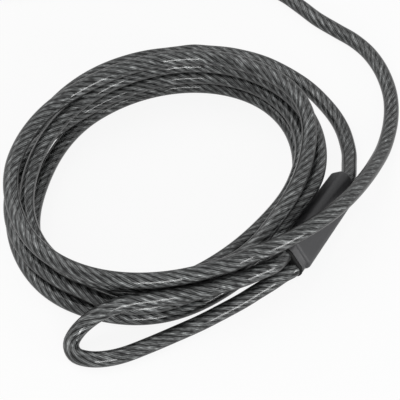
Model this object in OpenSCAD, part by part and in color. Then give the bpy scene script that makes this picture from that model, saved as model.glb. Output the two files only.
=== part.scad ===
// Looped security cable: a jacketed steel rope wound in a loose coil, with a crimped and
// sleeved eye at each end. Millimetres, +Z up, lying on z = 0, middle of its floor box at x = y = 0.

/* [Cable] */
// Diameter over the clear jacket
cable_d = 10; // [9:0.1:10]
// Diameter of the steel rope in the jacket
rope_d = 7; // [5:0.1:7.2]
// Clearance round the rope in its jacket
rope_clear = 0.1; // [0.05:0.05:0.2]

/* [Coil] */
// Half the length of the coil's plan oval
coil_long = 108; // [106:1:125]
// Half the width of the coil's plan oval
coil_wide = 87; // [85:1:105]
// Direction of the oval's length, degrees from +X
coil_turned = 54; // [50:1:58]

/* [Sleeve] */
// Length of the moulded sleeve
sleeve_len = 81; // [78:1:84]
// Width of the sleeve at the end with two legs
sleeve_wide = 24; // [24:0.5:26]
// Width of the sleeve at the end with one cable
sleeve_narrow = 20.5; // [20:0.5:22]
// Thickness of the sleeve at the end with two legs
sleeve_thick = 15.5; // [15:0.5:16]
// Thickness of the sleeve at the end with one cable
sleeve_thin = 15.5; // [14.5:0.5:16]
// Corner radius of the sleeve
sleeve_round = 5; // [2:0.5:6]
// Clearance of the sleeve round the cable and the ferrule
sleeve_clear = 0.1; // [0.05:0.05:0.3]

/* [Mouth lip] */
// Thickness of the lip at the mouth of the sleeve
lip_len = 2.5; // [2:0.5:4]
// Length of the sleeve's slimmer neck behind the lip
neck_len = 5; // [3:0.5:7]
// How far the lip stands out round the legs
lip_wall = 1.2; // [1:0.1:1.5]

/* [Ferrule] */
// Length of the crimped ferrule
ferrule_len = 24; // [18:1:30]
// Wall of the ferrule round the two ropes
ferrule_wall = 1.2; // [1:0.1:1.3]
// Depth of the ferrule behind the sleeve's mouth
ferrule_in = 26; // [22:1:30]

/* [Hidden] */
cable_r = cable_d / 2;
rope_r = rope_d / 2;
bore_r = rope_r + rope_clear;
sleeve_bore_r = cable_r + sleeve_clear;
cut_deep = 20;
cut_wide = 2000;
ring_sides = 6;                    // sides of the coil's tube
lead_sides = 10;                   // sides of the leads and eyes
ring_step = 15;                    // degrees of winding between rings
route_step = 6;                    // rings a stretch of a lead is cut into, at most
end_reach = 1;                     // how far a cutting tube runs past the ends
oval_mid = [-25, 2];

// The coil's winding: at each angle wound, [out from the plan oval, height].
// The turns lie on and beside each other.
station_deg = [
    0, 60, 90, 105, 120, 150, 180, 210, 240, 270, 300,
    360, 420, 480, 540, 600, 660, 690,
    720, 750, 780, 840, 900, 960, 982, 1000, 1020, 1050,
    1080, 1140, 1200, 1260, 1290, 1320, 1380, 1410,
    1440, 1470, 1500, 1530, 1560, 1590, 1620, 1650, 1680, 1740, 1800
];
station_at = [
    [27, 4], [30, 4], [34.4, 4], [32.8, 4], [27.6, 4], [13, 4], [1.5, 4], [-1, 4], [3.2, 4], [7.3, 4], [2, 4],
    [-6, 4], [2, 4], [-2.3, 4], [-13.3, 4], [-10, 6], [-11, 15], [-11.2, 15.4],
    [-7, 14.6], [-0.5, 14.6], [0.5, 14.6], [-4, 14.5], [0.5, 15], [-1.2, 14.3], [9, 15.5], [6.5, 15.8],
    [3.5, 16.5], [2.8, 23.4],
    [7.6, 26], [-0.3, 25.6], [-4, 25], [-10.2, 24.5], [-9.2, 24.6], [-3.5, 25], [4.5, 27.6], [1.3, 34.2],
    [-0.3, 35.2], [1.2, 36.5], [-4.6, 36.5], [-6.3, 36.3], [-4.2, 35.6], [-0.6, 34.6], [0.2, 34],
    [-1.2, 34.7], [2.6, 35.6], [11.4, 35.3], [20, 34]
];
wind_from_deg = 90;
wind_to_deg = 1725;

function unit(v) = v / norm(v);
function oval(a) = let (t = a - coil_turned)
    coil_long * coil_wide / sqrt(pow(coil_wide * cos(t), 2) + pow(coil_long * sin(t), 2));
// Catmull-Rom between b and c
function blend(a, b, c, d, u) = 0.5 * (2 * b + (c - a) * u
    + (2 * a - 5 * b + 4 * c - d) * u * u + (3 * b - a - 3 * c + d) * u * u * u);
// The stations' smooth curve: its slope at each comes from the two beside it
function slope(i) = (station_at[i + 1] - station_at[i - 1]) / (station_deg[i + 1] - station_deg[i - 1]);
function below(w) = max([for (i = [1 : len(station_deg) - 3]) if (station_deg[i] <= w) i]);
function station(w) = let (
    i = below(w),
    h = station_deg[i + 1] - station_deg[i],
    u = (w - station_deg[i]) / h)
    station_at[i] * (1 + 2 * u) * (1 - u) * (1 - u) + station_at[i + 1] * u * u * (3 - 2 * u)
    + h * slope(i) * u * (1 - u) * (1 - u) - h * slope(i + 1) * u * u * (1 - u);
// A spot beside the coil: at an angle, so far out from the plan oval and so high
function coil_spot(a, out, up) = let (r = oval(a) + out)
    [oval_mid.x + r * cos(a), oval_mid.y + r * sin(a), up];
function coil_at(w) = let (s = station(w)) coil_spot(w, s[0], s[1]);

// The coil's path, with a straight stretch of one cable diameter at each end
wound = [for (w = [wind_from_deg : ring_step : wind_to_deg]) coil_at(w)];
coil_last = len(wound) - 1;
function onward(a, b, c) = unit(3 * (a - b) - (b - c));
start_dir = onward(wound[0], wound[1], wound[2]);
finish_dir = onward(wound[coil_last], wound[coil_last - 1], wound[coil_last - 2]);
coil_start = wound[0] + cable_d * start_dir;
coil_finish = wound[coil_last] + cable_d * finish_dir;
coil_path = concat([coil_start], wound, [coil_finish]);

// Smooths a hand-chosen route into short straight runs
function smooth(p) = let (
    n = len(p),
    q = concat([2 * p[0] - p[1]], p, [2 * p[n - 1] - p[n - 2]]))
    concat([for (i = [1 : n - 1], k = [0 : runs(p[i - 1], p[i]) - 1])
        blend(q[i - 1], q[i], q[i + 1], q[i + 2], k / runs(p[i - 1], p[i]))], [p[n - 1]]);
function runs(a, b) = max(1, min(route_step, round(norm(b - a) / (0.9 * cable_d))));

// A sleeve's frame: its mouth's middle, then the ways along, across the legs and through it
function along(d, tilt) = let (
    x = unit(d),
    side = unit(cross([0, 0, 1], x)),
    y = unit(cos(tilt) * side + sin(tilt) * cross(x, side)))
    [x, y, cross(x, y)];
function at(o, f, p) = o + p.x * f[0] + p.y * f[1] + p.z * f[2];

// Sleeve A leans on the coil, on its edge; sleeve B lies flat
tipped_a = 54;
mouth_a = coil_spot(-41, 18.9, 12.1);
frame_a = along(coil_spot(2.3, 26.5, 11.2) - mouth_a, tipped_a);
mouth_b = [-80, 222, sleeve_thick / 2];
frame_b = along([1, 0, 0], 0);

// Inside a sleeve: the legs run side by side to the ferrule, and one goes on as the cable
leg_gap = cable_d + 0.8;
leg_in = 8;
function leg(side) = [for (x = [ferrule_in, leg_in, 0]) [x, side * leg_gap / 2, 0]];

// Eye A's way from the upper leg round to the lower one, as spots beside the coil
eye_a_spots = [
    [-48.4, 19.2, 21], [-55.1, 18, 22.5], [-62.1, 16.8, 23.5], [-69.8, 14.9, 24.5], [-76.8, 15, 25.5],
    [-89.5, 13.6, 26.5], [-98.9, 14.5, 25.5], [-103.9, 16.9, 22.5], [-108.1, 20.4, 17.5],
    [-111.3, 25.9, 10.5], [-112.4, 32.6, 5.5], [-111.3, 38.7, 4], [-108.9, 42.9, 4], [-104.6, 42.9, 4],
    [-99.4, 38.8, 4], [-93, 31.4, 4], [-83.8, 23.9, 4], [-77.4, 20.9, 4], [-70.3, 18.5, 4], [-62.0, 17.3, 4],
    [-55.2, 17.1, 4.4], [-49.0, 18.2, 5.2], [-44.4, 19.8, 6.8]
];
eye_a_way = [for (s = eye_a_spots) coil_spot(s[0], s[1], s[2])];
eye_b_way = [
    [-95, 233, 6], [-120, 240, 4], [-150, 244, 4], [-180, 244, 4], [-205, 238, 4], [-217, 222, 4],
    [-205, 206, 4], [-180, 202, 4], [-150, 203, 4], [-120, 206, 4], [-95, 212, 6]
];
function flip(p) = [for (i = [len(p) - 1 : -1 : 0]) p[i]];
leg_a_up = [for (p = leg(1)) at(mouth_a, frame_a, p)];
leg_a_low = [for (p = leg(-1)) at(mouth_a, frame_a, p)];
leg_b_up = [for (p = leg(1)) at(mouth_b, frame_b, p)];
leg_b_low = [for (p = leg(-1)) at(mouth_b, frame_b, p)];
eye_a = smooth(concat(leg_a_up, eye_a_way, flip(leg_a_low)));
eye_b = smooth(concat(leg_b_up, eye_b_way, flip(leg_b_low)));

// The leads, from a sleeve's ferrule to the coil
cable_in = ferrule_in + ferrule_len;
tail_start = 4;
tail_bend = 17;
tail_part = 0.8;
tail_in = 8;
tail_out = 4;
function tail(o, f) = [for (p = [
    [cable_in, leg_gap / 2, 0], [cable_in + tail_start, leg_gap / 2, 0], [cable_in + tail_bend, tail_part, 0],
    [sleeve_len - tail_in, 0, 0], [sleeve_len + tail_out, 0, 0]])
    at(o, f, p)];
lead_a_way = [
    [97, 26, 7], [97.2, 42, 5], [93.5, 64, 4], [84.5, 84.5, 4], [69.5, 106, 4], [46.5, 125.5, 4],
    [24, 135.2, 4], [4, 138.4, 4]
];
lead_b_way = [
    [31, -83, 35], [44, -76, 34.5], [56, -67, 33.4], [69, -55.5, 32], [81, -42.5, 30], [92.5, -25.5, 26],
    [103.3, -4, 19.5], [113, 20, 12], [121, 44, 6], [126.5, 70, 4], [127.5, 94, 4], [123.5, 117, 4],
    [116, 136, 4], [106, 150, 4], [94, 161, 4], [81, 173, 4], [70, 186, 4], [58, 199, 4], [42, 211, 4],
    [24, 218.5, 6]
];
lead_a = smooth(concat(tail(mouth_a, frame_a), lead_a_way, [coil_start + cable_d * start_dir, coil_start]));
lead_b = smooth(concat([coil_finish, coil_finish + cable_d * finish_dir], lead_b_way,
    flip(tail(mouth_b, frame_b))));

// The middle of the floor box, which goes to x = y = 0
every = concat(coil_path, eye_a, eye_b, lead_a, lead_b);
xs = [for (p = every) p.x];
ys = [for (p = every) p.y];
mid = [round((min(xs) + max(xs)) / 2), round((min(ys) + max(ys)) / 2), 0];

// Least gap of the cable to itself, measured on the middles of its rings
gap_skip = 12;
gaps = [for (i = [0 : len(wound) - 1], j = [i + gap_skip : 1 : len(wound) - 1]) near_gap(i, j)];
function near_gap(i, j) = segment_gap(wound[i], wound[j], wound[min(j + 1, coil_last)]);
function segment_gap(p, a, b) = let (
    v = b - a,
    u = v * v > 0 ? max(0, min(1, ((p - a) * v) / (v * v))) : 0)
    norm(p - a - u * v) - cable_d;
echo(least_gap_coil = min(gaps));
echo(least_gap_eye_a = min([for (p = eye_a, j = [0 : coil_last - 1])
    segment_gap(p, wound[j], wound[j + 1])]));
echo(least_gap_lead_b = min([for (i = [8 : len(lead_b) - 1], j = [0 : coil_last - 1])
    segment_gap(lead_b[i], wound[j], wound[j + 1])]));
function run(p) = len(p) < 2 ? 0 : [for (i = [1 : len(p) - 1]) norm(p[i] - p[i - 1])]
    * [for (i = [1 : len(p) - 1]) 1];
echo(lengths = [run(coil_path), run(lead_a), run(lead_b), run(eye_a), run(eye_b)]);
echo(turns = (wind_to_deg - wind_from_deg) / 360, middle = mid);

// A solid tube along a path: one ring of corners for each point
function way(p, i) = unit(p[min(i + 1, len(p) - 1)] - p[max(i - 1, 0)]);
function ring(p, i, r, k) = let (
    t = way(p, i),
    s = unit([t.y, -t.x, 0]),
    n = cross(s, t))
    [for (j = [0 : k - 1]) let (a = 360 * (j + 0.5) / k) p[i] + r * (cos(a) * n + sin(a) * s)];
module tube(p, r, k) {
    n = len(p);
    corners = [for (i = [0 : n - 1]) each ring(p, i, r, k)];
    sides = [for (i = [0 : n - 2], j = [0 : k - 1]) let (m = (j + 1) % k)
        each [[i * k + j, (i + 1) * k + j, i * k + m], [i * k + m, (i + 1) * k + j, (i + 1) * k + m]]];
    caps = [for (j = [1 : k - 2]) each [[0, j, j + 1], [(n - 1) * k, (n - 1) * k + j + 1, (n - 1) * k + j]]];
    polyhedron(points = corners, faces = concat(sides, caps));
}
// The same path with its two ends carried on
function longer(p) = let (n = len(p))
    concat([p[0] - end_reach * way(p, 0)], p, [p[n - 1] + end_reach * way(p, n - 1)]);
// A hollow tube along a path, flattened where it lies on the floor
function on_floor(p) = [p.x, p.y, max(p.z, 0)];
module pipe(p, r, bore, k) {
    n = len(p);
    all = n * k;
    outer = [for (i = [0 : n - 1]) each [for (q = ring(p, i, r, k)) on_floor(q)]];
    inner = [for (i = [0 : n - 1]) each ring(p, i, bore, k)];
    sides = [for (i = [0 : n - 2], j = [0 : k - 1]) let (
        m = (j + 1) % k,
        a = i * k + j,
        b = i * k + m,
        c = a + k,
        d = b + k)
        each [[a, c, b], [b, c, d], [all + a, all + b, all + c], [all + b, all + d, all + c]]];
    ends = [for (j = [0 : k - 1]) let (m = (j + 1) % k, e = (n - 1) * k)
        each [[j, m, all + j], [m, all + m, all + j],
            [e + j, all + e + j, e + m], [e + m, all + e + j, all + e + m]]];
    polyhedron(points = concat(outer, inner), faces = concat(sides, ends));
}

module placed() {
    translate(-mid) children();
}
module floor_cut() {
    translate([-cut_wide / 2, -cut_wide / 2, -cut_deep]) cube([cut_wide, cut_wide, cut_deep]);
}
module jacket(p, k) {
    color([0.27, 0.28, 0.29]) placed() pipe(p, cable_r, bore_r, k);
}
module rope(p, k) {
    color([0.6, 0.61, 0.62]) placed() tube(p, rope_r, k);
}

module in_frame(o, f) {
    placed() multmatrix([
        [f[0].x, f[1].x, f[2].x, o.x],
        [f[0].y, f[1].y, f[2].y, o.y],
        [f[0].z, f[1].z, f[2].z, o.z]]) children();
}
slab = 0.5;
module slice(x, w, t) {
    translate([x, 0, 0]) rotate([90, 0, 90]) linear_extrude(slab)
        offset(r = sleeve_round, $fn = 32) square([w - 2 * sleeve_round, t - 2 * sleeve_round], center = true);
}
module legs_shape(r, gap) {
    hull() for (s = [-1, 1]) translate([s * gap / 2, 0]) circle(r = r, $fn = 32);
}
neck_wall = lip_wall - 0.2;
module sleeve_form() {
    hull() {
        slice(lip_len + neck_len, sleeve_wide, sleeve_thick);
        slice(sleeve_len - slab, sleeve_narrow, sleeve_thin);
    }
    translate([lip_len, 0, 0]) rotate([90, 0, 90]) linear_extrude(neck_len + slab)
        legs_shape(cable_r + neck_wall, leg_gap);
}
module sleeve(o, f, eye, lead) {
    color([0.13, 0.13, 0.14]) difference() {
        in_frame(o, f) sleeve_form();
        placed() tube(longer(eye), sleeve_bore_r, lead_sides);
        placed() tube(longer(lead), sleeve_bore_r, lead_sides);
        in_frame(o, f) translate([ferrule_in - sleeve_clear, 0, 0]) rotate([90, 0, 90])
            linear_extrude(ferrule_len + 2 * sleeve_clear)
            legs_shape(rope_r + ferrule_wall + sleeve_clear, leg_gap);
        floor_cut();
    }
}
module lip(o, f, eye) {
    color([0.05, 0.05, 0.05]) difference() {
        in_frame(o, f) rotate([90, 0, 90]) linear_extrude(lip_len)
            legs_shape(cable_r + lip_wall, leg_gap);
        placed() tube(eye, sleeve_bore_r, lead_sides);
        floor_cut();
    }
}
module ferrule(o, f) {
    color([0.75, 0.76, 0.78]) in_frame(o, f) translate([ferrule_in, 0, 0]) rotate([90, 0, 90])
        linear_extrude(ferrule_len) difference() {
            legs_shape(rope_r + ferrule_wall, leg_gap);
            for (s = [-1, 1]) translate([s * leg_gap / 2, 0]) circle(r = bore_r, $fn = 32);
        }
}
// The rope of an eye runs on through the ferrule with both of its legs
function through(o, f, p) = concat(
    [at(o, f, [cable_in, leg_gap / 2, 0])], p, [at(o, f, [cable_in, -leg_gap / 2, 0])]);

module coil_jacket() { jacket(coil_path, ring_sides); }
module coil_rope() { rope(coil_path, ring_sides); }
module lead_a_jacket() { jacket(lead_a, lead_sides); }
module lead_a_rope() { rope(lead_a, lead_sides); }
module lead_b_jacket() { jacket(lead_b, lead_sides); }
module lead_b_rope() { rope(lead_b, lead_sides); }
module eye_a_jacket() { jacket(eye_a, lead_sides); }
module eye_a_rope() { rope(through(mouth_a, frame_a, eye_a), lead_sides); }
module eye_b_jacket() { jacket(eye_b, lead_sides); }
module eye_b_rope() { rope(through(mouth_b, frame_b, eye_b), lead_sides); }
module sleeve_a() { sleeve(mouth_a, frame_a, eye_a, lead_a); }
module sleeve_b() { sleeve(mouth_b, frame_b, eye_b, lead_b); }
module lip_a() { lip(mouth_a, frame_a, eye_a); }
module lip_b() { lip(mouth_b, frame_b, eye_b); }
module ferrule_a() { ferrule(mouth_a, frame_a); }
module ferrule_b() { ferrule(mouth_b, frame_b); }

coil_jacket();
coil_rope();
lead_a_jacket();
lead_a_rope();
lead_b_jacket();
lead_b_rope();
eye_a_jacket();
eye_a_rope();
eye_b_jacket();
eye_b_rope();
sleeve_a();
sleeve_b();
lip_a();
lip_b();
ferrule_a();
ferrule_b();
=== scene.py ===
"""Dresses the looped security cable: its jacketed cable, two eyes, moulded sleeves and their lips.

Everything is in metres, lying on z = 0. Paths are worked out beside the coil's own oval, and every
surface is moved by SHIFT into the part's frame.
"""

import math

import bpy
import numpy as np
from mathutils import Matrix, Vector


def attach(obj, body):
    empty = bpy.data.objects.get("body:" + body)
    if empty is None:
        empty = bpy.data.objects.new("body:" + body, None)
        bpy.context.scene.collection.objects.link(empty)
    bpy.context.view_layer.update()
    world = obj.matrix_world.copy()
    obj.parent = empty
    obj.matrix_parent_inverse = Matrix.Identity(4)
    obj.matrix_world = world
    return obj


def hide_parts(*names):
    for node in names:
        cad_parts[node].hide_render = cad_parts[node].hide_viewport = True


bl_info = {
    "name": "Looped security cable",
    "version": (1, 0, 0),
    "blender": (4, 5, 0),
    "location": "View3D > Sidebar > Cable",
    "description": "Builds the cable, its eyes and sleeves round the loaded frame",
    "category": "Object",
}

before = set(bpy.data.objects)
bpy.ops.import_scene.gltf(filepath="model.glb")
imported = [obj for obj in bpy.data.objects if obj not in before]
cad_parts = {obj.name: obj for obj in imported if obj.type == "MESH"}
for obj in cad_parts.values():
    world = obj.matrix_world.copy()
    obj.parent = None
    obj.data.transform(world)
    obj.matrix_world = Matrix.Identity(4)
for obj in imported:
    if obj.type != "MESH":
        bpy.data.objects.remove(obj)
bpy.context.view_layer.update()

# The part's frame has the middle of the floor box at x = y = 0
SHIFT = np.array((0.045, -0.052, 0.0))
TINY = 1e-5

# The cable, its corners round a ring and the gap between rings
CABLE_R = 0.005
CABLE_D = 2 * CABLE_R
CABLE_SIDES = 24
MAIN_RING_GAP = 0.0025
EYE_RING_GAP = 0.002

# The coil's plan oval and winding: each station is (degrees wound, out from the oval, height)
COIL_LONG = 0.108
COIL_WIDE = 0.087
COIL_TURNED = 54.0
OVAL_MID = (-0.025, 0.002)
WIND_FROM = 90
WIND_TO = 1725
POINTS_TO_DEGREE = 4
END_DEGREES = 15
STATIONS = (
    (0, 0.027, 0.004), (60, 0.03, 0.004), (90, 0.0344, 0.004), (105, 0.0328, 0.004),
    (120, 0.0276, 0.004), (150, 0.013, 0.004), (180, 0.0015, 0.004), (210, -0.001, 0.004),
    (240, 0.0032, 0.004), (270, 0.0073, 0.004), (300, 0.002, 0.004), (360, -0.006, 0.004),
    (420, 0.002, 0.004), (480, -0.0023, 0.004), (540, -0.0133, 0.004), (600, -0.01, 0.006),
    (660, -0.011, 0.015), (690, -0.0112, 0.0154), (720, -0.007, 0.0146), (750, -0.0005, 0.0146),
    (780, 0.0005, 0.0146), (840, -0.004, 0.0145), (900, 0.0005, 0.015), (960, -0.0012, 0.0143),
    (982, 0.009, 0.0155), (1000, 0.0065, 0.0158), (1020, 0.0035, 0.0165), (1050, 0.0028, 0.0234),
    (1080, 0.0076, 0.026), (1140, -0.0003, 0.0256), (1200, -0.004, 0.025), (1260, -0.0102, 0.0245),
    (1290, -0.0092, 0.0246), (1320, -0.0035, 0.025), (1380, 0.0045, 0.0276), (1410, 0.0013, 0.0342),
    (1440, -0.0003, 0.0352), (1470, 0.0012, 0.0365), (1500, -0.0046, 0.0365),
    (1530, -0.0063, 0.0363), (1560, -0.0042, 0.0356), (1590, -0.0006, 0.0346),
    (1620, 0.0002, 0.034), (1650, -0.0012, 0.0347), (1680, 0.0026, 0.0356), (1740, 0.0114, 0.0353),
    (1800, 0.02, 0.034),
)

# Eye A's way, in spots beside the coil: (degrees, out from the oval, height)
EYE_A_SPOTS = (
    (-48.4, 0.0192, 0.021), (-55.1, 0.018, 0.0225), (-62.1, 0.0168, 0.0235),
    (-69.8, 0.0149, 0.0245), (-76.8, 0.015, 0.0255), (-89.5, 0.0136, 0.0265),
    (-98.9, 0.0145, 0.0255), (-103.9, 0.0169, 0.0225), (-108.1, 0.0204, 0.0175),
    (-111.3, 0.0259, 0.0105), (-112.4, 0.0326, 0.0055), (-111.3, 0.0387, 0.004),
    (-108.9, 0.0429, 0.004), (-104.6, 0.0429, 0.004), (-99.4, 0.0388, 0.004), (-93, 0.0314, 0.004),
    (-83.8, 0.0239, 0.004), (-77.4, 0.0209, 0.004), (-70.3, 0.0185, 0.004), (-62.0, 0.0173, 0.004),
    (-55.2, 0.0171, 0.0044), (-49.0, 0.0182, 0.0052), (-44.4, 0.0198, 0.0068),
)

# Points that the other stretches go through
EYE_B_WAY = (
    (-0.095, 0.233, 0.006), (-0.12, 0.24, 0.004), (-0.15, 0.244, 0.004), (-0.18, 0.244, 0.004),
    (-0.205, 0.238, 0.004), (-0.217, 0.222, 0.004), (-0.205, 0.206, 0.004), (-0.18, 0.202, 0.004),
    (-0.15, 0.203, 0.004), (-0.12, 0.206, 0.004), (-0.095, 0.212, 0.006),
)
LEAD_A_WAY = (
    (0.097, 0.026, 0.007), (0.0972, 0.042, 0.005), (0.0935, 0.064, 0.004), (0.0845, 0.0845, 0.004),
    (0.0695, 0.106, 0.004), (0.0465, 0.1255, 0.004), (0.024, 0.1352, 0.004), (0.004, 0.1384, 0.004),
)
LEAD_B_WAY = (
    (0.031, -0.083, 0.035), (0.044, -0.076, 0.0345), (0.056, -0.067, 0.0334),
    (0.069, -0.0555, 0.032), (0.081, -0.0425, 0.03), (0.0925, -0.0255, 0.026),
    (0.1033, -0.004, 0.0195), (0.113, 0.02, 0.012), (0.121, 0.044, 0.006), (0.1265, 0.07, 0.004),
    (0.1275, 0.094, 0.004), (0.1235, 0.117, 0.004), (0.116, 0.136, 0.004), (0.106, 0.15, 0.004),
    (0.094, 0.161, 0.004), (0.081, 0.173, 0.004), (0.07, 0.186, 0.004), (0.058, 0.199, 0.004),
    (0.042, 0.211, 0.004), (0.024, 0.2185, 0.006),
)

# Each sleeve: its mouth's middle, the way it points, and how far it is tipped on its edge.
# Sleeve A's are spots beside the coil: (degrees, out from the oval, height).
MOUTH_SPOT_A = (-41, 0.0189, 0.0121)
NARROW_SPOT_A = (2.3, 0.0265, 0.0112)
TIPPED_A = 54.0
MOUTH_B = (-0.08, 0.222, 0.00775)
POINTS_B = (1.0, 0.0, 0.0)
TIPPED_B = 0.0
SLEEVE_LEN = 0.081
SLEEVE_WIDE = 0.024
SLEEVE_NARROW = 0.0205
SLEEVE_THICK = 0.0155
SLEEVE_THIN = 0.0155
SLEEVE_EDGE = 0.0016
SLEEVE_COUNT = 96
LIP_LEN = 0.0025
LIP_WALL = 0.0012
LIP_COUNT = 72
NECK_LEN = 0.005
NECK_WALL = 0.001
NECK_END = LIP_LEN + NECK_LEN

# How the neck closes in behind the lip: (along the sleeve, share of its outline)
NECK_ROWS = ((LIP_LEN, 0.6), (LIP_LEN, 0.98), (LIP_LEN + 0.0003, 1.0), (NECK_END - 0.0002, 1.0))

# How far the flat ends of a sleeve and of a lip close in on the cables
SLEEVE_END_CUTS = (0.004, 0.0072)
LIP_END_CUT = 0.005

# Inside a sleeve: the ferrule, the two legs that leave it and the single cable's bend beyond it
FERRULE_IN = 0.026
FERRULE_LEN = 0.024
CABLE_IN = FERRULE_IN + FERRULE_LEN
LEG_GAP = CABLE_D + 0.0008
LEG_IN = 0.008
TAIL_STRAIGHT = 0.004
TAIL_BEND = 0.017
TAIL_ASIDE = 0.0008
TAIL_LEVEL = 0.008

# The rope's lay: noise to a metre along it, noise round it, and the parts of each ridge
SWIRL_ALONG = 160.0
SWIRL_ROUND = 9.0
SWIRL = 0.12
PATCH_ALONG = 120.0
# Scales of short noise streaks along the wires; their light ones are painted glints
GLINT_ALONG = 260.0
GLINT_ROUND = 4.0
WIRES_TO_STRAND = 3.0
STRAND_PART = 0.65
WIRE_PART = 0.35

# The jacket: (facing or level, grey or share of the rope's tint).
# The edge stops paint the outline dark as painted shade as the surface turns from the camera;
# the lay stops paint strand valleys dark as shade and crowns light as painted highlights.
INSIDE_STOPS = ((0.48, 1.0), (0.62, 0.0))
EDGE_SHADE_STOPS = ((0.48, 0.01), (0.56, 0.015), (0.64, 0.05), (0.78, 0.04), (0.88, 0.0))
LAY_SHADE_STOPS = ((0.36, 0.01), (0.58, 0.12), (0.8, 0.6), (1.0, 1.9))
PATCH_SPREAD = 0.5
# How far the wire streaks move the level: the light ones come out as painted glints
GLINT_SPREAD = 0.8
LEVEL = 0.8
ROUGH_SPREAD = 0.2

# The stage
LOOK_AT = SHIFT
CAMERA_AWAY = 1.65
CAMERA_ELEVATION = 45.0
PIXELS_PER_METRE = 1550.0
PICTURE = 400
FLOOR_HALF = 6.0

# Each lamp: name, the way it stands from the coil, how far off, its size and its power
LAMPS = (
    ("Front", (0.14, -0.97, 0.21), 1.5, (0.7, 0.45), 14.0),
    ("Right", (0.88, -0.45, 0.18), 1.5, (0.5, 0.45), 9.0),
    ("Upper left", (-0.5, 0.35, 0.8), 1.8, (1.8, 1.8), 17.0),
)


# ---- Paths -------------------------------------------------------------------------------------

def unit(v):
    """The vector or vectors v at length one."""
    v = np.asarray(v, float)
    return v / np.linalg.norm(v, axis=-1, keepdims=True)


def oval(angle):
    """Radius of an ellipse at a plan angle in degrees."""
    t = np.radians(angle - COIL_TURNED)
    return COIL_LONG * COIL_WIDE / np.hypot(COIL_WIDE * np.cos(t), COIL_LONG * np.sin(t))


def stations_at(wound):
    """Out and height at each wound angle: a cubic through the stations, sloped by the two beside."""
    s = np.array(STATIONS)
    slope = (s[2:] - s[:-2]) / (s[2:, :1] - s[:-2, :1])
    i = np.clip(np.searchsorted(s[:, 0], wound, side="right") - 1, 1, len(s) - 3)
    h = (s[i + 1, 0] - s[i, 0])[:, None]
    u = (wound[:, None] - s[i, :1]) / h
    keep = s[i] * (1 + 2 * u) * (1 - u) ** 2 + s[i + 1] * u * u * (3 - 2 * u)
    bend = h * slope[i - 1] * u * (1 - u) ** 2 - h * slope[i] * u * u * (1 - u)
    return (keep + bend)[:, 1:]


def onward(a, b, c):
    """The way a curve through c, b and a goes on past a."""
    return unit(3 * (a - b) - (b - c))


def coil_path():
    """The coil's middle line: the oval pushed out and lifted as its stations say.

    It goes straight on for a cable's width at each end, the way its last 30 degrees lead.
    """
    wound = np.linspace(WIND_FROM, WIND_TO, POINTS_TO_DEGREE * (WIND_TO - WIND_FROM) + 1)
    out, up = stations_at(wound).T
    a = np.radians(wound)
    r = oval(wound) + out
    p = np.stack([OVAL_MID[0] + r * np.cos(a), OVAL_MID[1] + r * np.sin(a), up], axis=1)
    k = END_DEGREES * POINTS_TO_DEGREE
    return np.vstack([p[0] + CABLE_D * onward(p[0], p[k], p[2 * k]), p,
                      p[-1] + CABLE_D * onward(p[-1], p[-1 - k], p[-1 - 2 * k])])


def coil_spot(angle, out, up):
    """A spot beside the coil."""
    r = oval(angle) + out
    a = math.radians(angle)
    return np.array([OVAL_MID[0] + r * math.cos(a), OVAL_MID[1] + r * math.sin(a), up])


def smooth(points, cuts=40):
    """Catmull-Rom curve through given points."""
    p = np.asarray(points, float)
    q = np.vstack([2 * p[0] - p[1], p, 2 * p[-1] - p[-2]])
    u = (np.arange(cuts) / cuts)[None, :, None]
    a, b, c, d = (q[k:k + len(p) - 1, None, :] for k in range(4))
    curve = 0.5 * (2 * b + (c - a) * u + (2 * a - 5 * b + 4 * c - d) * u ** 2
                   + (3 * b - a - 3 * c + d) * u ** 3)
    return np.vstack([curve.reshape(-1, 3), p[-1]])


def evenly(path, gap):
    """The same line with points an even gap apart, and how far along it each is."""
    run = np.concatenate([[0.0], np.cumsum(np.linalg.norm(np.diff(path, axis=0), axis=1))])
    n = max(2, int(round(run[-1] / gap)) + 1)
    at_run = np.linspace(0.0, run[-1], n)
    return np.stack([np.interp(at_run, run, path[:, k]) for k in range(3)], axis=1), at_run


def along(points, tipped):
    """A sleeve's own axes: along it, across its legs, and through it."""
    x = unit(points)
    side = unit(np.cross((0.0, 0.0, 1.0), x))
    t = math.radians(tipped)
    y = unit(math.cos(t) * side + math.sin(t) * np.cross(x, side))
    return np.array([x, y, np.cross(x, y)])


def at(mouth, axes, p):
    """Points given in a sleeve's own axes, beside the coil."""
    return np.asarray(mouth) + np.asarray(p, float) @ axes


def leg(side):
    """One leg's straight way out of the ferrule to the sleeve's mouth, in the sleeve's axes."""
    return np.array([(x, side * LEG_GAP / 2, 0) for x in (FERRULE_IN, LEG_IN, 0)])


def tail(mouth, axes):
    """The single cable's way from the ferrule out of the sleeve's narrow end."""
    return at(mouth, axes, [
        (CABLE_IN, LEG_GAP / 2, 0), (CABLE_IN + TAIL_STRAIGHT, LEG_GAP / 2, 0),
        (CABLE_IN + TAIL_BEND, TAIL_ASIDE, 0), (SLEEVE_LEN - TAIL_LEVEL, 0, 0),
        (SLEEVE_LEN + TAIL_STRAIGHT, 0, 0)])


def eye_path(mouth, axes, way):
    """Out along one leg, round the eye and back along the other."""
    return smooth(np.vstack([at(mouth, axes, leg(1)), way, at(mouth, axes, leg(-1))[::-1]]))


MOUTH_A = coil_spot(*MOUTH_SPOT_A)
AXES_A = along(coil_spot(*NARROW_SPOT_A) - MOUTH_A, TIPPED_A)
AXES_B = along(POINTS_B, TIPPED_B)
SLEEVES = (("a", MOUTH_A, AXES_A), ("b", MOUTH_B, AXES_B))

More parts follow.
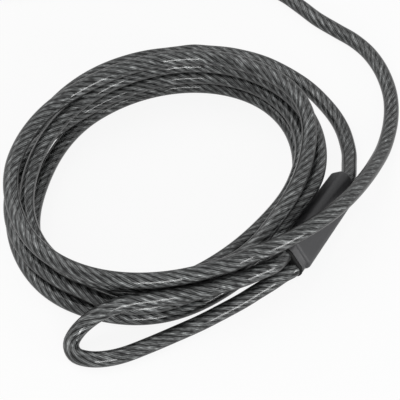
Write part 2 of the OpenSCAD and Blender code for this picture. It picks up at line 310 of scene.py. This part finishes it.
COIL = coil_path()
START_DIR = unit(COIL[0] - COIL[1])
FINISH_DIR = unit(COIL[-1] - COIL[-2])
LEAD_A = smooth(np.vstack([tail(MOUTH_A, AXES_A), LEAD_A_WAY,
                           COIL[0] + CABLE_D * START_DIR, COIL[0]]))
LEAD_B = smooth(np.vstack([COIL[-1], COIL[-1] + CABLE_D * FINISH_DIR, LEAD_B_WAY,
                           tail(MOUTH_B, AXES_B)[::-1]]))
MAIN = np.vstack([LEAD_A[:-1], COIL, LEAD_B[1:]])
EYES = {"a": eye_path(MOUTH_A, AXES_A, [coil_spot(*s) for s in EYE_A_SPOTS]),
        "b": eye_path(MOUTH_B, AXES_B, EYE_B_WAY)}


# ---- Surfaces ----------------------------------------------------------------------------------

def solid(name, grid, uv=None):
    """A closed mesh from a grid of rings: rows of quads, and a fan at each end.

    uv is (how far along each ring is, how far round each corner is), for the layer Along.
    """
    n, k = grid.shape[:2]
    verts = np.vstack([grid.reshape(-1, 3), grid[0].mean(axis=0), grid[-1].mean(axis=0)])
    i, j = np.meshgrid(np.arange(n - 1), np.arange(k), indexing="ij")
    m = (j + 1) % k
    quads = np.stack([i * k + j, i * k + m, (i + 1) * k + m, (i + 1) * k + j], axis=-1)
    quads = quads.reshape(-1, 4)
    j = np.arange(k)
    m = (j + 1) % k
    first = np.stack([np.full(k, n * k), m, j], axis=-1)
    last = np.stack([np.full(k, n * k + 1), (n - 1) * k + j, (n - 1) * k + m], axis=-1)
    a, b, c, d = (verts[quads[:, corner]] for corner in range(4))
    volume = np.einsum("ij,ij->", a, np.cross(b, c)) + np.einsum("ij,ij->", a, np.cross(c, d))
    if volume < 0:
        quads, first, last = quads[:, ::-1], first[:, ::-1], last[:, ::-1]
    mesh = bpy.data.meshes.new(name)
    mesh.from_pydata(verts.tolist(), [], quads.tolist() + first.tolist() + last.tolist())
    if uv is not None:
        u, v = uv
        corner = np.concatenate([quads.ravel(), first.ravel(), last.ravel()])
        face = np.concatenate([np.repeat(np.arange(len(quads)), 4),
                               len(quads) + np.repeat(np.arange(2 * k), 3)])
        on_ring = corner < n * k
        row = np.where(on_ring, corner // k, np.where(corner == n * k, 0, n - 1))
        col = np.where(on_ring, corner % k, 0)
        last_column = np.bincount(face, weights=on_ring & (col == k - 1)) > 0
        turn = np.where(last_column[face] & on_ring & (col == 0), 1.0, v[col])
        layer = mesh.uv_layers.new(name="Along")
        layer.data.foreach_set("uv", np.stack([u[row], turn], axis=1).ravel())
    mesh.polygons.foreach_set("use_smooth", np.ones(len(mesh.polygons), bool))
    mesh.update()
    mesh.validate()
    piece = bpy.data.objects.new(name, mesh)
    bpy.context.scene.collection.objects.link(piece)
    return piece


def swept(name, path, gap):
    """The cable's round tube carried along a path, flattened where it lies on the floor.

    At each point the ring stands square to the path, with its first corner on top. Gives the
    piece, its middle line and its length.
    """
    p, run = evenly(path, gap)
    t = unit(np.gradient(p, axis=0))
    s = unit(np.stack([t[:, 1], -t[:, 0], np.zeros(len(t))], axis=1))
    n = np.cross(s, t)
    turn = np.arange(CABLE_SIDES) / CABLE_SIDES
    a = 2 * math.pi * turn
    grid = p[:, None, :] + CABLE_R * (np.cos(a)[None, :, None] * n[:, None, :]
                                      + np.sin(a)[None, :, None] * s[:, None, :])
    grid[..., 2] = np.maximum(grid[..., 2], 0.0)
    return solid(name, grid + SHIFT, uv=(run, turn)), p + SHIFT, run[-1]


def rounded(across, through, corner, count):
    """A rounded oblong's outline, walked by angle: a straight-sided box with round corners."""
    a = 2 * math.pi * np.arange(count) / count
    box = np.stack([np.cos(a), np.sin(a)], axis=1)
    half = np.array([across / 2, through / 2])
    box /= np.max(np.abs(box) / half, axis=1, keepdims=True)
    inner = np.maximum(half - corner, TINY)
    core = np.clip(box, -inner, inner)
    return core + corner * unit(box - core + 1e-9 * np.sign(box))


def stadium(wall, count):
    """The outline of two cables side by side with a wall round them."""
    deep = CABLE_D + 2 * wall
    return rounded(LEG_GAP + deep, deep, deep / 2 - TINY, count)


def ring_at(x, outline):
    """An outline stood square across a sleeve, x along it."""
    return np.column_stack([np.full(len(outline), x), outline])


def sleeve_shell(name, mouth, axes, corner):
    """A slim neck, a shoulder, then a rounded oblong that shrinks along the sleeve.

    Each row is (along, how much slimmer than the body's outline there); the rows of the two
    shoulders follow a quarter circle, and the last rows close in on the cable.
    """
    edge = SLEEVE_EDGE
    quarter = np.linspace(math.pi / 2, 0, 6)
    neck = stadium(NECK_WALL, SLEEVE_COUNT)
    rings = [ring_at(x, neck * share) for x, share in NECK_ROWS]
    rows = [(NECK_END + edge * (1 - math.sin(q)), edge * (1 - math.cos(q))) for q in quarter]
    rows += [(x, 0.0) for x in np.linspace(NECK_END + edge, SLEEVE_LEN - edge, 24)[1:-1]]
    rows += [(SLEEVE_LEN - edge * (1 - math.cos(q)), edge * (1 - math.sin(q))) for q in quarter]
    rows += [(SLEEVE_LEN, cut) for cut in SLEEVE_END_CUTS]
    for x, cut in rows:
        f = (x - NECK_END) / (SLEEVE_LEN - NECK_END)
        across = SLEEVE_WIDE + (SLEEVE_NARROW - SLEEVE_WIDE) * f - 2 * cut
        through = SLEEVE_THICK + (SLEEVE_THIN - SLEEVE_THICK) * f - 2 * cut
        radius = min(corner, 0.49 * across, 0.49 * through)
        rings.append(ring_at(x, rounded(across, through, radius, SLEEVE_COUNT)))
    grid = at(mouth, axes, np.array(rings)) + SHIFT
    grid[..., 2] = np.maximum(grid[..., 2], 0.0)
    return solid(name, grid)


def lip_ring(name, mouth, axes):
    """A plate with the outline of two legs side by side and half-round rims."""
    half = LIP_LEN / 2
    rims = np.linspace(-math.pi / 2, math.pi / 2, 9)
    rows = [(0, LIP_END_CUT)]
    rows += [(half + half * math.sin(q), half * (1 - math.cos(q))) for q in rims]
    rows += [(LIP_LEN, LIP_END_CUT)]
    rings = [ring_at(x, stadium(LIP_WALL - cut, LIP_COUNT)) for x, cut in rows]
    return solid(name, at(mouth, axes, np.array(rings)) + SHIFT)


# ---- Shader helpers ----------------------------------------------------------------------------

def material(name):
    """A new material, its nodes, a linker and its Principled shader."""
    m = bpy.data.materials.new(name)
    m.use_nodes = True
    nodes, links = m.node_tree.nodes, m.node_tree.links
    return m, nodes, links, nodes["Principled BSDF"]


def calc(tree, op, a, b=None, c=None):
    """A Math node fed with sockets or numbers; gives its output."""
    node = tree.nodes.new("ShaderNodeMath")
    node.operation = op
    for k, value in enumerate((a, b, c)):
        if value is None:
            continue
        if isinstance(value, (int, float)):
            node.inputs[k].default_value = value
        else:
            tree.links.new(value, node.inputs[k])
    return node.outputs[0]


def ridge(tree, value):
    """A half-round ridge over each whole step of a value."""
    side = calc(tree, "MULTIPLY_ADD", calc(tree, "FRACT", value), 2.0, -1.0)
    fall = calc(tree, "SUBTRACT", 1.0, calc(tree, "MULTIPLY", side, side))
    return calc(tree, "SQRT", calc(tree, "MAXIMUM", fall, 0.0))


def cloud(tree, along_it, across_it):
    """Noise on two values."""
    place = tree.nodes.new("ShaderNodeCombineXYZ")
    tree.links.new(along_it, place.inputs[0])
    tree.links.new(across_it, place.inputs[1])
    noise = tree.nodes.new("ShaderNodeTexNoise")
    noise.inputs["Scale"].default_value = 1.0
    noise.inputs["Detail"].default_value = 1.0
    tree.links.new(place.outputs[0], noise.inputs["Vector"])
    return noise.outputs[0]


def rope_group():
    """Node group Rope lay: strands of wires laid in a helix, on (run, turn) coordinates.

    phase = strands * (turn - run / lay), shaken a little. Each strand is a half-round ridge, with
    three finer ridges for its wires. Tone is slow and patchy. The third output is short noise
    streaks along the lay; the jacket turns its light ones into painted glints on the wires.
    """
    g = bpy.data.node_groups.new("Rope lay", "ShaderNodeTree")
    for name in ("Run", "Turn", "Strands", "Lay"):
        g.interface.new_socket(name, in_out="INPUT", socket_type="NodeSocketFloat")
    for name in ("Height", "Tone", "Wire glints"):
        g.interface.new_socket(name, in_out="OUTPUT", socket_type="NodeSocketFloat")
    given = g.nodes.new("NodeGroupInput")
    result = g.nodes.new("NodeGroupOutput")
    run, turn, strands, lay = (given.outputs[k] for k in range(4))
    helix = calc(g, "MULTIPLY", strands, calc(g, "SUBTRACT", turn, calc(g, "DIVIDE", run, lay)))
    swirl = cloud(g, calc(g, "MULTIPLY", run, SWIRL_ALONG), calc(g, "MULTIPLY", turn, SWIRL_ROUND))
    phase = calc(g, "MULTIPLY_ADD", calc(g, "SUBTRACT", swirl, 0.5), SWIRL, helix)
    wire = ridge(g, calc(g, "MULTIPLY", phase, WIRES_TO_STRAND))
    height = calc(g, "MULTIPLY_ADD", ridge(g, phase), STRAND_PART,
                  calc(g, "MULTIPLY", wire, WIRE_PART))
    patch = cloud(g, calc(g, "MULTIPLY", run, PATCH_ALONG), helix)
    glint_dashes = cloud(g, calc(g, "MULTIPLY", run, GLINT_ALONG), calc(g, "MULTIPLY", phase, GLINT_ROUND))
    g.links.new(height, result.inputs["Height"])
    g.links.new(patch, result.inputs["Tone"])
    g.links.new(glint_dashes, result.inputs["Wire glints"])
    return g


def ramp_node(nodes, stops):
    """A colour ramp of greys or colours at the given places."""
    ramp = nodes.new("ShaderNodeValToRGB")
    elements = ramp.color_ramp.elements
    while len(elements) < len(stops):
        elements.new(0.5)
    for element, (place, color) in zip(elements, stops):
        element.position = place
        element.color = (*color, 1) if isinstance(color, tuple) else (color, color, color, 1)
    return ramp


def jacket_material(looks):
    """Steel rope seen through a smoked clear jacket.

    The middle shows the lay, coloured by its height: the strand valleys painted dark as shade, the
    crowns and light wire streaks painted light as highlights. Towards the edges, as the surface
    turns from the camera, near-black greys take over: the jacket's smooth smoked wall seen edge-on,
    darkened as painted shade, with a painted dark line just inside it and at the very edge. A smooth
    clear coat lies over all of it.
    """
    m, nodes, links, shader = material("Smoked jacket with painted shade and glints")
    tree = m.node_tree
    uv = nodes.new("ShaderNodeUVMap")
    uv.uv_map = "Along"
    split = nodes.new("ShaderNodeSeparateXYZ")
    links.new(uv.outputs[0], split.inputs[0])
    rope = nodes.new("ShaderNodeGroup")
    rope.node_tree = rope_group()
    links.new(split.outputs[0], rope.inputs["Run"])
    links.new(split.outputs[1], rope.inputs["Turn"])
    rope.inputs["Strands"].default_value = looks.strands
    rope.inputs["Lay"].default_value = looks.lay
    # Painted shade at the outline: as the surface turns from the camera the lay gives way to
    # near-black greys
    facing = nodes.new("ShaderNodeLayerWeight")
    facing.inputs["Blend"].default_value = 0.5
    inside = ramp_node(nodes, INSIDE_STOPS)
    links.new(facing.outputs["Facing"], inside.inputs[0])
    wall = ramp_node(nodes, EDGE_SHADE_STOPS)
    links.new(facing.outputs["Facing"], wall.inputs[0])
    patch = calc(tree, "MULTIPLY_ADD", rope.outputs["Tone"], PATCH_SPREAD, -PATCH_SPREAD / 2)
    # Light wire streaks become painted glints on the wires
    glint_dashes = calc(tree, "MULTIPLY_ADD", rope.outputs["Wire glints"], GLINT_SPREAD, -GLINT_SPREAD / 2)
    level = calc(tree, "ADD", rope.outputs["Height"], calc(tree, "ADD", patch, glint_dashes))
    level = calc(tree, "MULTIPLY", level, LEVEL)
    # Painted shade and highlight: low strand valleys near black, high crowns and light wire streaks
    # bright
    lay = ramp_node(nodes, [(place, tuple(part * c for c in looks.tint))
                            for place, part in LAY_SHADE_STOPS])
    links.new(level, lay.inputs[0])
    mix = nodes.new("ShaderNodeMix")
    mix.data_type = "RGBA"
    links.new(inside.outputs[0], mix.inputs["Factor"])
    links.new(wall.outputs[0], mix.inputs["A"])
    links.new(lay.outputs[0], mix.inputs["B"])
    links.new(mix.outputs["Result"], shader.inputs["Base Color"])
    bump = nodes.new("ShaderNodeBump")
    bump.inputs["Strength"].default_value = 0.6
    bump.inputs["Distance"].default_value = 0.0007
    links.new(calc(tree, "MULTIPLY", level, inside.outputs[0]), bump.inputs["Height"])
    links.new(bump.outputs[0], shader.inputs["Normal"])
    shader.inputs["Metallic"].default_value = 0.3
    shader.inputs["Roughness"].default_value = 0.38
    shader.inputs["Specular IOR Level"].default_value = 0.0
    shader.inputs["Coat Weight"].default_value = 0.5
    shader.inputs["Coat Roughness"].default_value = 0.06
    return m


def noise_on(nodes, links, scale):
    """Noise of a scale on the piece's own coordinates."""
    where = nodes.new("ShaderNodeTexCoord")
    noise = nodes.new("ShaderNodeTexNoise")
    noise.inputs["Scale"].default_value = scale
    links.new(where.outputs["Object"], noise.inputs["Vector"])
    return noise.outputs[0]


def cloudy(tree, shader, noise, dark, light, rough):
    """Noise in a shader's colour, between two tones, and in its roughness."""
    tint = tree.nodes.new("ShaderNodeMix")
    tint.data_type = "RGBA"
    tint.inputs["A"].default_value = (*dark, 1)
    tint.inputs["B"].default_value = (*light, 1)
    tree.links.new(noise, tint.inputs["Factor"])
    tree.links.new(tint.outputs["Result"], shader.inputs["Base Color"])
    rough_here = calc(tree, "MULTIPLY_ADD", noise, ROUGH_SPREAD, rough - ROUGH_SPREAD / 2)
    tree.links.new(rough_here, shader.inputs["Roughness"])


def plastic_material(name, color, grain, rough, shine):
    """Moulded plastic: fine grain in the bump, and a little cloudiness thirty times as wide."""
    m, nodes, links, shader = material(name)
    bump = nodes.new("ShaderNodeBump")
    bump.inputs["Strength"].default_value = 0.25
    bump.inputs["Distance"].default_value = 0.0002
    links.new(noise_on(nodes, links, grain), bump.inputs["Height"])
    links.new(bump.outputs[0], shader.inputs["Normal"])
    cloudy(m.node_tree, shader, noise_on(nodes, links, grain / 30),
           [0.8 * c for c in color], [min(1, 1.2 * c) for c in color], rough)
    shader.inputs["Specular IOR Level"].default_value = shine
    return m


def metal_material(name, color, rough):
    """Drawn metal: fine noise in its colour and roughness."""
    m, nodes, links, shader = material(name)
    cloudy(m.node_tree, shader, noise_on(nodes, links, 600.0),
           [0.75 * c for c in color], color, rough)
    shader.inputs["Metallic"].default_value = 1.0
    return m


def seen_rays(tree):
    """One for rays that show the backdrop itself: from the camera, a gloss or through glass."""
    path = tree.nodes.new("ShaderNodeLightPath")
    seen = calc(tree, "MAXIMUM", path.outputs["Is Camera Ray"], path.outputs["Is Glossy Ray"])
    return calc(tree, "MAXIMUM", seen, path.outputs["Is Transmission Ray"])


# ---- Sizes and colours a user would change -----------------------------------------------------

class CableLooks(bpy.types.PropertyGroup):
    strands: bpy.props.IntProperty(
        name="Strands", description="Strands round the rope", default=8, min=3, max=12)
    lay: bpy.props.FloatProperty(
        name="Lay", description="Length in which a strand goes once round",
        default=0.062, min=0.015, max=0.1, unit="LENGTH")
    tint: bpy.props.FloatVectorProperty(
        name="Rope tint", description="Steel as seen through the jacket",
        default=(0.22, 0.228, 0.228), subtype="COLOR", min=0.0, max=1.0)


class SleeveLooks(bpy.types.PropertyGroup):
    tint: bpy.props.FloatVectorProperty(
        name="Sleeve", description="Colour of the moulded sleeves",
        default=(0.032, 0.032, 0.034), subtype="COLOR", min=0.0, max=1.0)
    lip: bpy.props.FloatVectorProperty(
        name="Lip", description="Colour of the lips at the mouths",
        default=(0.005, 0.005, 0.005), subtype="COLOR", min=0.0, max=1.0)
    corner: bpy.props.FloatProperty(
        name="Corner", description="Radius of the sleeves' long edges",
        default=0.005, min=0.001, max=0.007, unit="LENGTH")


class StageLooks(bpy.types.PropertyGroup):
    floor: bpy.props.FloatProperty(
        name="Floor", description="Paleness of the floor", default=0.92, min=0.0, max=1.0)
    glow: bpy.props.FloatProperty(
        name="Glow", description="Share of the floor that shows white whatever its light",
        default=0.9, min=0.0, max=1.0)
    sky: bpy.props.FloatProperty(
        name="Sky", description="Light from all round", default=0.32, min=0.0, max=3.0)


# ---- Steps -------------------------------------------------------------------------------------

class CABLE_OT_sleeves(bpy.types.Operator):
    """Build the two moulded sleeves"""
    bl_idname = "cable.sleeves"
    bl_label = "Sleeves"

    def execute(self, context):
        looks = context.scene.sleeve_looks
        look = plastic_material("Moulded sleeve", looks.tint, grain=3000.0, rough=0.5, shine=0.4)
        for side, mouth, axes in SLEEVES:
            piece = sleeve_shell(f"sleeve_{side}_shell", mouth, axes, looks.corner)
            piece.data.materials.append(look)
            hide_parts(f"sleeve_{side}")
            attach(piece, "root")
        return {"FINISHED"}


class CABLE_OT_lips(bpy.types.Operator):
    """Build the lip at the mouth of each sleeve"""
    bl_idname = "cable.lips"
    bl_label = "Lips"

    def execute(self, context):
        looks = context.scene.sleeve_looks
        look = plastic_material("Lip rubber", looks.lip, grain=2000.0, rough=0.5, shine=0.1)
        for side, mouth, axes in SLEEVES:
            piece = lip_ring(f"lip_{side}_ring", mouth, axes)
            piece.data.materials.append(look)
            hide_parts(f"lip_{side}")
            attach(piece, "root")
        return {"FINISHED"}


class CABLE_OT_main_cable(bpy.types.Operator):
    """Build the long cable: lead A, the coil and lead B in one run"""
    bl_idname = "cable.main_cable"
    bl_label = "Long cable"

    def execute(self, context):
        piece, path, length = swept("main_cable", MAIN, MAIN_RING_GAP)
        piece.data.materials.append(jacket_material(context.scene.cable_looks))
        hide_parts("coil_jacket", "lead_a_jacket", "lead_b_jacket")
        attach(piece, "root")
        return {"FINISHED"}


class CABLE_OT_eyes(bpy.types.Operator):
    """Build the eye at each end"""
    bl_idname = "cable.eyes"
    bl_label = "Eyes"

    def execute(self, context):
        look = bpy.data.materials["Smoked jacket with painted shade and glints"]
        for side, mouth, axes in SLEEVES:
            piece, path, length = swept(f"eye_{side}_cable", EYES[side], EYE_RING_GAP)
            piece.data.materials.append(look)
            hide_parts(f"eye_{side}_jacket")
            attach(piece, "root")
        return {"FINISHED"}


class CABLE_OT_inside(bpy.types.Operator):
    """Give the steel rope and the ferrules inside their metal"""
    bl_idname = "cable.inside"
    bl_label = "Rope and ferrules"

    def execute(self, context):
        steel = metal_material("Rope steel", (0.5, 0.51, 0.52), rough=0.4)
        alloy = metal_material("Ferrule alloy", (0.75, 0.76, 0.78), rough=0.35)
        for name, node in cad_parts.items():
            look = steel if name.endswith("_rope") else alloy if name.startswith("ferrule") else None
            if look is not None:
                node.data.materials.clear()
                node.data.materials.append(look)
        return {"FINISHED"}


def pale_floor(looks):
    """A square floor that keeps the shadow and glows white to the rays that see it."""
    corners = [(FLOOR_HALF * x, FLOOR_HALF * y, 0) for x, y in ((-1, -1), (1, -1), (1, 1), (-1, 1))]
    mesh = bpy.data.meshes.new("floor")
    mesh.from_pydata(corners, [], [(0, 1, 2, 3)])
    floor = bpy.data.objects.new("floor", mesh)
    bpy.context.scene.collection.objects.link(floor)
    m, nodes, links, shader = material("Pale floor")
    shader.inputs["Base Color"].default_value = (looks.floor,) * 3 + (1,)
    shader.inputs["Roughness"].default_value = 0.9
    shader.inputs["Specular IOR Level"].default_value = 0.0
    glow = nodes.new("ShaderNodeEmission")
    mix = nodes.new("ShaderNodeMixShader")
    seen = seen_rays(m.node_tree)
    links.new(calc(m.node_tree, "MULTIPLY", seen, looks.glow), mix.inputs[0])
    links.new(shader.outputs[0], mix.inputs[1])
    links.new(glow.outputs[0], mix.inputs[2])
    links.new(mix.outputs[0], nodes["Material Output"].inputs["Surface"])
    mesh.materials.append(m)
    return floor


def studio_world(looks):
    """A dim sky for light that shows as white to the rays that see it."""
    world = bpy.data.worlds.new("Studio")
    world.use_nodes = True
    nodes, links = world.node_tree.nodes, world.node_tree.links
    back = nodes["Background"]
    back.inputs["Color"].default_value = (1, 1, 1, 1)
    back.inputs["Strength"].default_value = looks.sky
    white = nodes.new("ShaderNodeBackground")
    white.inputs["Color"].default_value = (1, 1, 1, 1)
    mix = nodes.new("ShaderNodeMixShader")
    links.new(seen_rays(world.node_tree), mix.inputs[0])
    links.new(back.outputs[0], mix.inputs[1])
    links.new(white.outputs[0], mix.inputs[2])
    links.new(mix.outputs[0], nodes["World Output"].inputs["Surface"])
    return world


def area_light(name, towards, away, size, power):
    """An oblong lamp that looks at the coil from the given way."""
    data = bpy.data.lights.new(name, "AREA")
    data.energy = power
    data.shape = "RECTANGLE"
    data.size, data.size_y = size
    lamp = bpy.data.objects.new(name, data)
    way = unit(towards)
    lamp.location = LOOK_AT + away * way
    lamp.rotation_euler = Vector(way).to_track_quat("Z", "Y").to_euler()
    bpy.context.scene.collection.objects.link(lamp)


def front_camera():
    """The camera, above and in front of the coil."""
    data = bpy.data.cameras.new("Camera")
    data.sensor_fit = "HORIZONTAL"
    data.lens = data.sensor_width * PIXELS_PER_METRE * CAMERA_AWAY / PICTURE
    camera = bpy.data.objects.new("Camera", data)
    e = math.radians(CAMERA_ELEVATION)
    camera.location = LOOK_AT + CAMERA_AWAY * np.array((0.0, -math.cos(e), math.sin(e)))
    camera.rotation_euler = (math.pi / 2 - e, 0.0, 0.0)
    bpy.context.scene.collection.objects.link(camera)
    return camera


class CABLE_OT_stage(bpy.types.Operator):
    """Set the floor, the light and the camera"""
    bl_idname = "cable.stage"
    bl_label = "Stage"

    def execute(self, context):
        scene = context.scene
        looks = scene.stage_looks
        scene.view_settings.view_transform = "Standard"
        floor = pale_floor(looks)
        scene.world = studio_world(looks)
        for lamp in LAMPS:
            area_light(*lamp)
        scene.camera = front_camera()
        return {"FINISHED"}


class CABLE_PT_panel(bpy.types.Panel):
    """Sizes, colours and the steps that build the cable"""
    bl_idname = "CABLE_PT_panel"
    bl_label = "Looped security cable"
    bl_space_type = "VIEW_3D"
    bl_region_type = "UI"
    bl_category = "Cable"

    def draw(self, context):
        layout = self.layout
        for group in ("cable_looks", "sleeve_looks", "stage_looks"):
            looks = getattr(context.scene, group)
            for name in looks.__annotations__:
                layout.prop(looks, name)
        for step in STEPS:
            layout.operator(step.bl_idname)


STEPS = (CABLE_OT_sleeves, CABLE_OT_lips, CABLE_OT_main_cable, CABLE_OT_eyes, CABLE_OT_inside,
         CABLE_OT_stage)
CLASSES = (CableLooks, SleeveLooks, StageLooks, *STEPS, CABLE_PT_panel)


def register():
    for cls in CLASSES:
        bpy.utils.register_class(cls)
    bpy.types.Scene.cable_looks = bpy.props.PointerProperty(type=CableLooks)
    bpy.types.Scene.sleeve_looks = bpy.props.PointerProperty(type=SleeveLooks)
    bpy.types.Scene.stage_looks = bpy.props.PointerProperty(type=StageLooks)


def unregister():
    del bpy.types.Scene.stage_looks
    del bpy.types.Scene.sleeve_looks
    del bpy.types.Scene.cable_looks
    for cls in reversed(CLASSES):
        bpy.utils.unregister_class(cls)


def main():
    register()
    bpy.ops.cable.sleeves()
    bpy.ops.cable.lips()
    bpy.ops.cable.main_cable()
    bpy.ops.cable.eyes()
    bpy.ops.cable.inside()
    bpy.ops.cable.stage()


if __name__ == "__main__":
    main()
